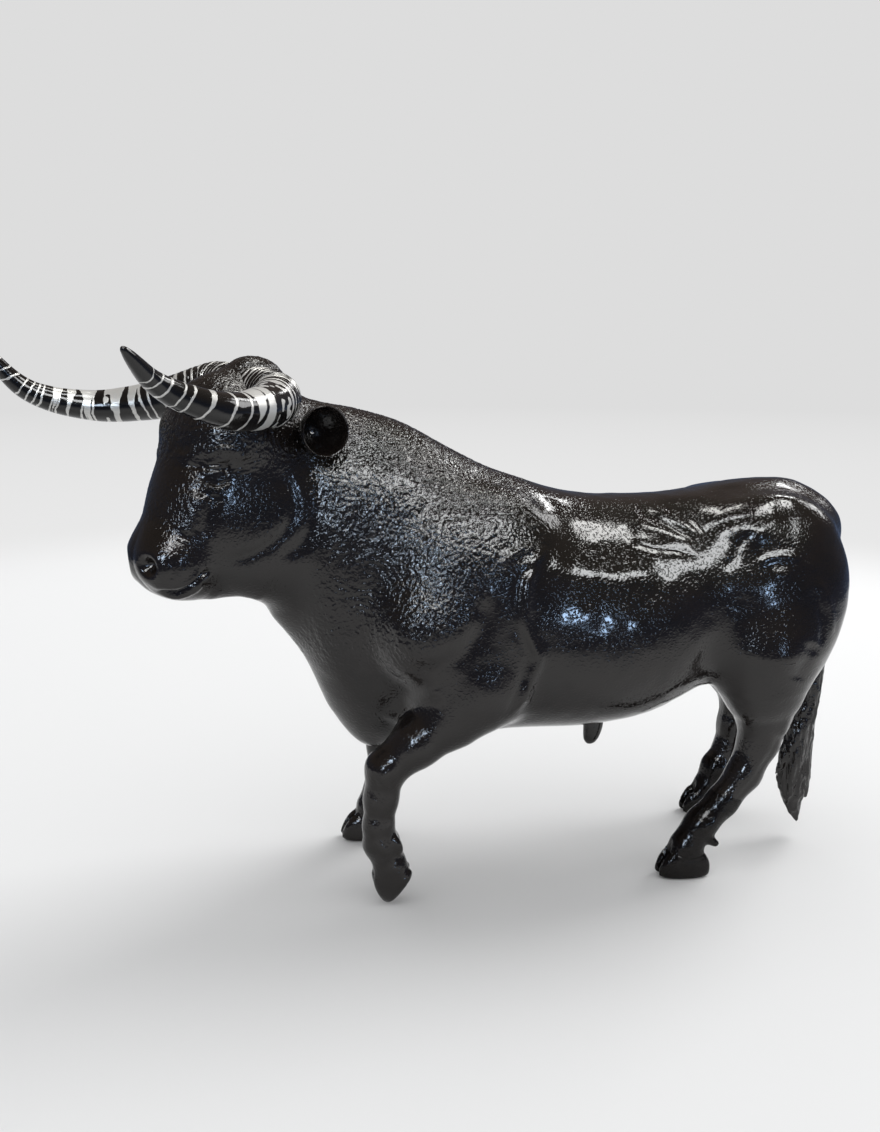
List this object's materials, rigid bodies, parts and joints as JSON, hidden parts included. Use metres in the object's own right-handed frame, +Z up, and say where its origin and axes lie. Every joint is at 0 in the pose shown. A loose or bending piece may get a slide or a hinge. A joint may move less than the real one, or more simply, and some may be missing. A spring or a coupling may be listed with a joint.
{
  "type": "bull garden sculpture",
  "caption": "Standing fighting bull figure in glossy black lacquered resin castings with banded horns, head turned to its left, on a hidden steel armature",
  "frame": {"origin": "ground level, at the middle of the object's bounding box", "axes": "X runs along the body, the bull faces -X; +Y is the bull's right side; +Z is up"},
  "size_m": [0.6462, 0.2876, 0.4039],
  "materials": {
    "black_lacquer": "deep gloss black lacquer over cast resin, lightly pitted",
    "horn_paint": "gloss black with hand-painted silver-white bands",
    "armature_steel": "bare welded mild steel"
  },
  "bodies": {
    "root": {"body_shell_left": "black_lacquer", "body_shell_right": "black_lacquer", "head_casting": "black_lacquer", "foreleg_left": "black_lacquer", "foreleg_right": "black_lacquer", "hindleg_left": "black_lacquer", "hindleg_right": "black_lacquer", "horn_left": "horn_paint", "horn_right": "horn_paint", "ear_left": "black_lacquer", "ear_right": "black_lacquer", "tail": "black_lacquer", "sheath": "black_lacquer", "foreleg_rod_left": "armature_steel", "foreleg_rod_right": "armature_steel", "hindleg_rod_left": "armature_steel", "hindleg_rod_right": "armature_steel", "tail_wire": "armature_steel", "spine_bar": "armature_steel", "front_cross_bar": "armature_steel", "rear_cross_bar": "armature_steel", "neck_bar": "armature_steel", "horn_bar": "armature_steel"}
  },
  "joints": []
}
